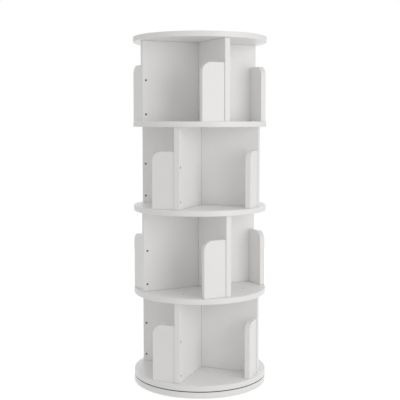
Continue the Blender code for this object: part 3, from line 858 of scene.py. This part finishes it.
def screw_meshes(length, radius, head_radius, head_height, pitch, key_width, hole_depth, sunk=0.0):
    """A countersunk screw that points down, sunk so far below height zero, and the drill for its hole."""
    neck = -length * NECK_SHARE
    core_radius = radius * CORE_SHARE
    samples = int((length * POINT_SHARE + neck) / pitch * SAMPLES_PER_PITCH)
    outline = [(0, 0), (head_radius - HEAD_LAND / 2, 0), (head_radius, -HEAD_LAND / 2)]
    outline += [(head_radius, -HEAD_LAND), (radius, -head_height), (radius, neck)]
    outline += [(core_radius, neck - pitch * step / SAMPLES_PER_PITCH) for step in range(1, samples)]
    outline += [(core_radius, -length * POINT_SHARE), (0, -length)]
    values = {
        "Pitch": pitch,
        "Ridge": radius - core_radius,
        "Thread Top": neck - pitch / SAMPLES_PER_PITCH / 2,
        "Thread End": -length * POINT_SHARE + pitch / SAMPLES_PER_PITCH,
        "Socket Radius": key_width / math.sqrt(3),
        "Socket Depth": head_height,
        "Finish": black_zinc,
    }
    screw = run_tree(threader, outline_mesh(outline), values)
    screw.transform(Matrix.Translation((0, 0, -sunk)))
    wide = head_radius + HOLE_CLEARANCE
    narrow = radius + HOLE_CLEARANCE
    hole = [(0, HOLE_OVERRUN), (wide, HOLE_OVERRUN), (wide, -sunk), (narrow, -sunk - head_height)]
    hole += [(narrow, -hole_depth), (0, -hole_depth)]
    print("Screw of", round(length / MM, 1), "mm with", len(screw.polygons), "faces")
    return screw, turned_mesh(hole, HOLE_STEPS, bare_chipboard)


assembly_screw, assembly_drill = screw_meshes(
    length=50 * MM,
    radius=2.2 * MM,
    head_radius=3.5 * MM,
    head_height=1.6 * MM,
    pitch=3.2 * MM,
    key_width=3 * MM,
    hole_depth=board_thickness + HOLE_OVERRUN,
    sunk=2 * MM,
)
ring_screw_low, ring_screw_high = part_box("outer_ring_screw_1")
ring_screw, ring_drill = screw_meshes(
    length=ring_screw_high.z - ring_screw_low.z,
    radius=1.6 * MM,
    head_radius=3.4 * MM,
    head_height=1.8 * MM,
    pitch=2 * MM,
    key_width=2.2 * MM,
    hole_depth=board_thickness,
)

# %% [markdown]
# The six round boards come next: the fixed base and the five turning boards, which differ only in
# their holes. Each is turned from one outline, a disc whose rim is rounded over to 1.2 mm at both edges,
# with the joint line of the edge band two millimetres in. The outline has a point on each side of every
# rounding, so that the flats stay flat under smooth shading. Then the drill goes through wherever a
# screw's head lies between the board's two faces.

# %% Round boards
RIM_EASE = 1.2 * MM
RIM_STEPS = 4
ROUND_STEPS = 192


def arc_points(radius, height, reach, first, sweep, steps):
    """Points on an arc about one radius and height, from a first angle over a sweep, ends included."""
    rays = [first + sweep * step / steps for step in range(steps + 1)]
    return [(radius + reach * math.cos(ray), height + reach * math.sin(ray)) for ray in rays]


def round_board(low, high, face_finish=level_melamine):
    """A disc with eased, banded edges, from the height of its lower face to that of its upper face."""
    band_starts = case_radius - BAND_THICKNESS
    ease_starts = case_radius - RIM_EASE
    flat_ends = ease_starts - FLAT_STEP
    outline = [(0, high), (band_starts, high), (flat_ends, high)]
    outline += arc_points(ease_starts, high - RIM_EASE, RIM_EASE, QUARTER, -QUARTER, RIM_STEPS)
    outline.append((case_radius, high - RIM_EASE - FLAT_STEP))
    outline.append((case_radius, low + RIM_EASE + FLAT_STEP))
    outline += arc_points(ease_starts, low + RIM_EASE, RIM_EASE, 0, -QUARTER, RIM_STEPS)
    outline += [(flat_ends, low), (band_starts, low), (0, low)]
    return turned_mesh(outline, ROUND_STEPS, face_finish, abs_edge_band, band_starts)


def places_in(places, low, high):
    """The places that lie within a box, edges included."""
    margin = Vector((SAME_LEVEL,) * 3)
    first, last = low - margin, high + margin
    return [place for place in places if all(a <= b <= c for a, b, c in zip(first, place.translation, last))]


for node in TURNING_BOARDS[1:]:
    low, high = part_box(node)
    board = drilled_mesh(round_board(low.z, high.z), assembly_drill, places_in(board_screws, low, high))
    add_piece(f"finished_{node}", shaded(board), "turning_case", [node])

# %% [markdown]
# The base and the lowest shelf face each other across a gap of three millimetres, and the ring bearing
# fills it. Both boards have a ring-shaped pocket for it, milled three millimetres deep. The base also
# has one hole right through. The inner ring's screws point up into the shelf, and with the case on, the
# only way to them is that hole, over which each screw is brought in turn. Pocket and hole are cut with
# the same tree as the screw holes, with a sleeve and a pin as its drills. The pocket comes last,
# because a Boolean is surest where it meets whole faces and not the floor of an earlier cut.
#
# The photograph shows the gap as a dark line, darker than two white faces would leave it. So a face
# that never shows is not given white paper but a plain backing sheet, a greyish brown kraft paper that
# only keeps the board from bending, and its dark colour paints the shade of the gap. So the shelf has it
# below, and the base on both faces.

# %% Kraft backing sheet, a darker colour as painted shade in the gap
# Soaked in resin and pressed on: dull, a little cloudy, with no pearl.
backing_sheet_painted_shade = mottled_finish(
    "kraft_backing_sheet", "#8A8276", "#9A9286", (30, 30, 30), roughness=0.8, relief_mm=0.05
)


def backed_below_with_painted_shade(mesh):
    """Gives a round board's lower face the darker backing sheet in place of the white paper, as painted
    shade in the gap.
    """
    mesh.materials.append(backing_sheet_painted_shade)
    white = mesh.materials.find(level_melamine.name)
    for face in mesh.polygons:
        if face.material_index == white and face.normal.z < 0:
            face.material_index = len(mesh.materials) - 1
    return mesh


# %% Base and lowest shelf
POCKET_DEPTH = 3 * MM
POCKET_CLEARANCE = 1 * MM
ACCESS_RADIUS = 8 * MM
RING_SCREWS = range(1, 5)
UPSIDE_DOWN = Matrix.Rotation(math.pi, 4, "X")


def bore_of(ring):
    """The inner radius of a packed ring."""
    return min(point.xy.length for point in points_of(ring))


def ring_screw_places(kind, from_below):
    """Where the heads of a ring's screws lie. They look down where the screws are driven from below."""
    places = []
    for number in RING_SCREWS:
        low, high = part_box(f"{kind}_ring_screw_{number}")
        middle = (low + high) / 2
        level = low.z if from_below else high.z
        place = Matrix.Translation((middle.x, middle.y, level))
        places.append(place @ UPSIDE_DOWN if from_below else place)
    return places


outer_low, outer_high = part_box("bearing_outer_ring")
inner_low, inner_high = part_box("bearing_inner_ring")
outer_bore = bore_of("bearing_outer_ring")
inner_bore = bore_of("bearing_inner_ring")
outer_screws = ring_screw_places("outer", from_below=False)
inner_screws = ring_screw_places("inner", from_below=True)
pocket_drill = sleeve_mesh(
    outer_high.x + POCKET_CLEARANCE,
    inner_bore - POCKET_CLEARANCE,
    HOLE_OVERRUN,
    -POCKET_DEPTH,
    ROUND_STEPS,
    bare_chipboard,
)

low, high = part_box("bottom_shelf")
# The shelf's lower face looks into the gap, so the darker backing sheet there is painted shade.
shelf = backed_below_with_painted_shade(round_board(low.z, high.z))
shelf = drilled_mesh(shelf, assembly_drill, places_in(board_screws, low, high))
shelf = drilled_mesh(shelf, ring_drill, inner_screws)
shelf = drilled_mesh(shelf, pocket_drill, [Matrix.Translation((0, 0, low.z)) @ UPSIDE_DOWN])
add_piece("finished_bottom_shelf", shaded(shelf), "turning_case", ["bottom_shelf"])

low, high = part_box("base_board")
under_screw = inner_screws[0].translation
access_place = Matrix.Translation((under_screw.x, under_screw.y, high.z))
access_low = low.z - high.z - HOLE_OVERRUN
access_drill = pin_mesh(ACCESS_RADIUS, HOLE_OVERRUN, access_low, HOLE_STEPS, bare_chipboard)
# The base has the darker backing sheet on both faces. On its upper face, in the gap, it is painted shade.
base = round_board(low.z, high.z, backing_sheet_painted_shade)
base = drilled_mesh(base, ring_drill, outer_screws)
base = drilled_mesh(base, access_drill, [access_place])
base = drilled_mesh(base, pocket_drill, [Matrix.Translation((0, 0, high.z))])
add_piece("finished_base_board", shaded(base), "base", ["base_board"])

# %% [markdown]
# Twelve upright panels: in each tier a long one that runs right across, and two halves that butt against
# its faces. Each is one eased plate, laid up along its arm, turned to its place and then drilled for the
# screws of its fences and for its dowels. The solid's own box, seen from the arm, gives how far it
# reaches. It stops a little short of the boards above and below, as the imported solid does.

# %% Panels
DOWEL_CLEARANCE = 0.3 * MM
DOWELS = (1, 2)

dowel_low, dowel_high = sizes_from_arm("tier_1_dowel_1", arm_angle[1, LONG_PANEL_ARM])
dowel_half = (dowel_high.y - dowel_low.y) / 2
dowel_radius = (dowel_high.x - dowel_low.x) / 2
dowel_places = []
for tier in TIERS:
    for number in DOWELS:
        low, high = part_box(f"tier_{tier}_dowel_{number}")
        dowel_places.append(looking((low + high) / 2, across_arm[tier, LONG_PANEL_ARM]))
drill_half = dowel_half + DOWEL_CLEARANCE
dowel_drill = pin_mesh(
    dowel_radius + DOWEL_CLEARANCE, drill_half, -drill_half, HOLE_STEPS, bare_chipboard
)

for tier in TIERS:
    bottom, top = tier_floor[tier] + seat_gap, tier_ceiling[tier] - seat_gap
    for panel, arm in PANEL_ARMS.items():
        node = f"tier_{tier}_{panel}_panel"
        reach_low, reach_high = sizes_from_arm(node, arm_angle[tier, arm])
        plate = eased_plate((reach_low.x, bottom), (reach_high.x, top), panel_thickness)
        plate.transform(ARM_TURN[tier, arm])
        low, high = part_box(node)
        plate = drilled_mesh(plate, assembly_drill, places_in(fence_screws, low, high))
        nearby = [place for place in dowel_places if low.z < place.translation.z < high.z]
        plate = drilled_mesh(plate, dowel_drill, nearby)
        add_piece(f"finished_{node}", shaded(plate), "turning_case", [node])

# %% [markdown]
# The sixteen fences are one plate, copied. It lies across the arm, with its broad face looking outwards,
# its near edge against the panel and its outer top corner rounded to a large radius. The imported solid
# tells that radius: along its top edge the solid ends that much sooner than along its foot.

# %% Fences
fence_points = points_of("tier_1_fence_1", arm_angle[1, 1])
top_edge = [point.y for point in fence_points if point.z > fence_high.z - SAME_LEVEL]
outer_face = [point.y for point in fence_points if point.x > fence_high.x - SAME_LEVEL]
fence_corner = min(top_edge) - fence_low.y
fence_near, fence_far = -max(outer_face), -fence_low.y
fence_height = fence_high.z - fence_low.z
fence_plate = eased_plate((fence_near, 0), (fence_far, fence_height), fence_thickness, fence_corner)
fence_plate.transform(Matrix.Translation((fence_middle, 0, 0)) @ Matrix.Rotation(-QUARTER, 4, "Z"))

fence_places = []
fence_nodes = []
for (tier, arm), turn in ARM_TURN.items():
    fence_places.append(Matrix.Translation((0, 0, tier_floor[tier] + seat_gap)) @ turn)
    fence_nodes.append(f"tier_{tier}_fence_{arm}")
fences = copies_mesh(fence_plate, fence_places, upright_melamine, abs_edge_band)
add_piece("finished_fences", fences, "turning_case", fence_nodes)
print("Fence corner radius in mm:", round(fence_corner / MM, 1))

# %% [markdown]
# The sixty-four assembly screws go in where their heads were found. They stand for no solid of their
# own, because each is solid with the board that its thread bites into.

# %% Assembly screws
all_screws = fence_screws + board_screws
screws = copies_mesh(assembly_screw, all_screws, black_zinc, most_twist=math.tau, seed=5)
add_piece("assembly_screws", screws, "turning_case", [])

# %% [markdown]
# Eight beech dowels line the half panels up across the long one. A dowel like this is rolled with
# flutes, so that glue and air can escape from its hole, and its ends are chamfered. The flutes follow a
# rule too: a lathe piece whose wall is pressed in wherever a wave round the axis goes below zero.

# %% A tree for fluted dowels
DOWEL_STEPS = 48
NO_LIFT = 0.0

fluter, size = new_tree("fluted_dowel", {"Flutes": "Float", "Depth": "Float", "Finish": "Material"})
core, _, level, angle = turned_core(fluter, size, DOWEL_STEPS)
phase = add_node(fluter, "ShaderNodeMath", {0: angle, 1: size["Flutes"]}, operation="MULTIPLY")
wave = add_node(fluter, "ShaderNodeMath", {0: phase}, operation="COSINE")
valley = add_node(fluter, "ShaderNodeMath", {0: wave, 1: NO_LIFT}, operation="MINIMUM")
press = add_node(fluter, "ShaderNodeMath", {0: valley, 1: size["Depth"]}, operation="MULTIPLY")
end_tree(fluter, pushed_out(fluter, core, level, press), [(size["Finish"], True)])

# %% Dowels
DOWEL_CHAMFER = 1 * MM
FLUTES = 12
FLUTE_DEPTH = 0.35 * MM

dowel_outline = [
    (0, dowel_half),
    (dowel_radius - DOWEL_CHAMFER, dowel_half),
    (dowel_radius, dowel_half - DOWEL_CHAMFER),
    (dowel_radius, DOWEL_CHAMFER - dowel_half),
    (dowel_radius - DOWEL_CHAMFER, -dowel_half),
    (0, -dowel_half),
]
values = {"Flutes": FLUTES, "Depth": FLUTE_DEPTH, "Finish": beech}
dowel = run_tree(fluter, outline_mesh(dowel_outline), values)
dowel_nodes = [f"tier_{tier}_dowel_{number}" for tier in TIERS for number in DOWELS]
dowels = copies_mesh(dowel, dowel_places, beech, most_twist=math.tau, seed=8)
add_piece("fluted_dowels", dowels, "turning_case", dowel_nodes)

# %% [markdown]
# The bearing carries the whole weight. Two flat aluminium rings lie one inside the other, nearly level,
# and each has a round groove turned in the face that looks at the other. Twelve steel balls run in the
# two grooves, and a thin nylon cage keeps them apart. The outer ring is screwed down to the base and the
# inner one up to the shelf. The rings and the cage are turned on the lathe, and the cage's ball pockets
# are drilled from outside. A ball could be a sphere primitive, but turned from half a circle it comes
# from the same lathe and closes at its poles.

# %% Bearing rings
BALL_RADIUS = 2.5 * MM
GROOVE_RADIUS = 3.0 * MM
GROOVE_POINTS = 12
RING_CHAMFER = 0.3 * MM
RING_STEPS = 160

pitch_radius = (outer_bore + inner_high.x) / 2
race_height = (outer_low.z + inner_high.z) / 2
opens_at = math.acos((outer_bore - inner_high.x) / 2 / GROOVE_RADIUS)
outer_groove = arc_points(pitch_radius, race_height, GROOVE_RADIUS, opens_at, -2 * opens_at, GROOVE_POINTS)
inner_groove = [(2 * pitch_radius - radius, height) for radius, height in outer_groove]


def chamfered(radius, height, side, end):
    """The two points of a chamfered corner. Side 1 lies outwards and end 1 upwards."""
    level = (radius - side * RING_CHAMFER, height)
    upright = (radius, height - end * RING_CHAMFER)
    return [level, upright] if side == end else [upright, level]


def ring_mesh(low, high, bore, outer_wall, inner_wall, screw_places):
    """A ring with chamfered corners, the points of a groove in one of its walls, and its screw holes."""
    outline = chamfered(high.x, high.z, 1, 1) + outer_wall + chamfered(high.x, low.z, 1, -1)
    outline += chamfered(bore, low.z, -1, -1) + inner_wall + chamfered(bore, high.z, -1, 1)
    ring = turned_mesh(outline, RING_STEPS, turned_aluminium, closed=True)
    return shaded(drilled_mesh(ring, ring_drill, screw_places, turned_aluminium))


outer_ring = ring_mesh(outer_low, outer_high, outer_bore, [], outer_groove[::-1], outer_screws)
add_piece("turned_outer_ring", outer_ring, "base", ["bearing_outer_ring"])
inner_ring = ring_mesh(inner_low, inner_high, inner_bore, inner_groove, [], inner_screws)
add_piece("turned_inner_ring", inner_ring, "turning_case", ["bearing_inner_ring"])

# %% Ring screws
for kind, places, body in (("outer", outer_screws, "base"), ("inner", inner_screws, "turning_case")):
    solids = [f"{kind}_ring_screw_{number}" for number in RING_SCREWS]
    screws = copies_mesh(ring_screw, places, black_zinc, most_twist=math.tau, seed=5)
    add_piece(f"{kind}_ring_screws", screws, body, solids)

# %% Balls and their cage
BALL_COUNT = 12
BALL_STEPS = 24
CAGE_WALL = 1.4 * MM
CAGE_CLEARANCE = 0.25 * MM

half_circle = arc_points(0, 0, BALL_RADIUS, QUARTER, -math.pi, BALL_STEPS // 2)
ball = turned_mesh(half_circle, BALL_STEPS, chrome_steel)
round_pitch = [Matrix.Rotation(math.tau * step / BALL_COUNT, 4, "Z") for step in range(BALL_COUNT)]
at_pitch = Matrix.Translation((pitch_radius, 0, race_height))
balls = copies_mesh(ball, [turn @ at_pitch for turn in round_pitch], chrome_steel)
add_piece("bearing_balls", balls, "ball_set", ["ball_cage"])

cage_low, cage_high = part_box("ball_cage")
cage_inside, cage_outside = pitch_radius - CAGE_WALL / 2, pitch_radius + CAGE_WALL / 2
cage = sleeve_mesh(cage_outside, cage_inside, cage_high.z, cage_low.z, RING_STEPS, moulded_nylon)
ball_pocket = pin_mesh(BALL_RADIUS + CAGE_CLEARANCE, CAGE_WALL, -CAGE_WALL, BALL_STEPS, moulded_nylon)
from_outside = at_pitch @ Matrix.Rotation(QUARTER, 4, "Y")
cage = drilled_mesh(cage, ball_pocket, [turn @ from_outside for turn in round_pitch], moulded_nylon)
add_piece("drilled_ball_cage", shaded(cage), "ball_set", ["ball_cage"])

# %% [markdown]
# Six rubber pads keep the base off the floor and stop it from sliding. They are moulded discs with a
# rounded lower edge and a shallow hollow underneath, which grips as it is pressed flat.

# %% Foot pads
PAD_EASE = 0.8 * MM
PAD_HOLLOW = 0.6 * MM
PAD_LIP = 3 * MM
PAD_STEPS = 48
PADS = range(1, 7)

pad_boxes = [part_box(f"foot_pad_{number}") for number in PADS]
pad_radius = (pad_boxes[0][1].x - pad_boxes[0][0].x) / 2
pad_height = pad_boxes[0][1].z
lip_ends = pad_radius - PAD_LIP
pad_outline = [(0, pad_height), (pad_radius, pad_height)]
pad_outline += arc_points(pad_radius - PAD_EASE, PAD_EASE, PAD_EASE, 0, -QUARTER, EASE_STEPS)
pad_outline += [(lip_ends, 0), (lip_ends - PAD_HOLLOW, PAD_HOLLOW), (0, PAD_HOLLOW)]
pad = turned_mesh(pad_outline, PAD_STEPS, moulded_rubber)
pad_places = [Matrix.Translation(((low + high) / 2).xy.to_3d()) for low, high in pad_boxes]
pads = copies_mesh(pad, pad_places, moulded_rubber)
add_piece("rubber_foot_pads", pads, "base", [f"foot_pad_{number}" for number in PADS])

# %% [markdown]
# The stage is a sheet of matt white paper on the floor. Paper lit this way comes out under white in a
# picture, and a photographer evens that out by lighting the paper more than the object. Here the paper
# glows a little instead. It reads as pure white, as it does in the photograph, and its far edge melts
# into the room. The paper's fibres are drawn at 6 mm so that they show.

# %% Floor
FLOOR_RADIUS = 12.0
FLOOR_STEPS = 96
PAPER_GLOW = 0.5
FIBRE_MM = 6

white_paper = mottled_finish("matt_white_paper", "#E6E6E6", "#EAEAEA", (FIBRE_MM,) * 3, roughness=0.9)
shader = white_paper.node_tree.nodes["Principled BSDF"]
shader.inputs["Emission Color"].default_value = linear("#FFFFFF")
shader.inputs["Emission Strength"].default_value = PAPER_GLOW
floor = scene_object(turned_mesh([(FLOOR_RADIUS, 0), (0, 0)], FLOOR_STEPS, white_paper))
floor.name = "paper_floor"
floor.visible_diffuse = False
floor.visible_shadow = False
floor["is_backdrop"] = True

# %% [markdown]
# The light is what a product photographer uses: a white room that fills every bay with soft light, and
# three large soft boxes. The key stands on the right, a little in front and about as high as the top
# board. So the surfaces that look to the right come out brightest, those that look left are a step
# darker, and the inner corners darkest. It stands near, so its light also weakens a little towards the
# base, as it does in the photograph. A weaker box hangs overhead, so that the top board's upper face is
# as white as the rest. Another stands straight behind, for the views from there, where it lights only
# what the camera in front can't see. The room is the world's colour. It looks pure white to the camera,
# and lights the object at about six tenths of that, so that there is still light and shade.

# %% Room
ROOM_LIGHT = 0.622
ROOM_SEEN = 1.0

world = bpy.data.worlds.new("white_room")
world.use_nodes = True
bpy.context.scene.world = world
room = world.node_tree.nodes["Background"]
room.inputs["Color"].default_value = linear("#FFFFFF")
seen = add_node(world.node_tree, "ShaderNodeLightPath").outputs["Is Camera Ray"]
strengths = {"Value": seen, "To Min": ROOM_LIGHT, "To Max": ROOM_SEEN}
strength = add_node(world.node_tree, "ShaderNodeMapRange", strengths)
world.node_tree.links.new(strength.outputs[0], room.inputs["Strength"])

# %% Soft boxes
KEY_WATTS = 21.0
KEY_WIDTH = 2.0
KEY_DISTANCE = 2.8
KEY_HEIGHT = 1.1
KEY_AZIMUTH = math.radians(67)
OVERHEAD_WATTS = 11.0
OVERHEAD_WIDTH = 1.4
OVERHEAD_HEIGHT = 3.2
BACK_WATTS = 12.0


def soft_box(name, watts, width, place):
    """A square soft box that looks at the middle of the case."""
    light = bpy.data.lights.new(name, "AREA")
    light.energy = watts
    light.size = width
    box = scene_object(light)
    middle = Vector((0, 0, (cad_low.z + cad_high.z) / 2))
    box.location = place
    box.rotation_euler = (middle - place).to_track_quat("-Z", "Y").to_euler()
    box.visible_camera = False
    print("Soft box:", name, "of", watts, "W at", rounded(place, 2))


toward_key = Vector((math.sin(KEY_AZIMUTH), -math.cos(KEY_AZIMUTH), 0))
as_high_as_key = Vector((0, 0, KEY_HEIGHT))
soft_box("key_soft_box", KEY_WATTS, KEY_WIDTH, toward_key * KEY_DISTANCE + as_high_as_key)
soft_box("overhead_soft_box", OVERHEAD_WATTS, OVERHEAD_WIDTH, Vector((0, 0, OVERHEAD_HEIGHT)))
soft_box("back_soft_box", BACK_WATTS, KEY_WIDTH, as_high_as_key - toward_camera * KEY_DISTANCE)
bpy.context.scene.view_settings.view_transform = "Standard"

# %% [markdown]
# Last, the two boxes are written down, the imported model's and the finished one's, so that they can be
# compared: the fine surface may not make the bookcase any larger.

# %% Print the finished size
low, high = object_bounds()
print("Finished model, from", rounded(low), "to", rounded(high))
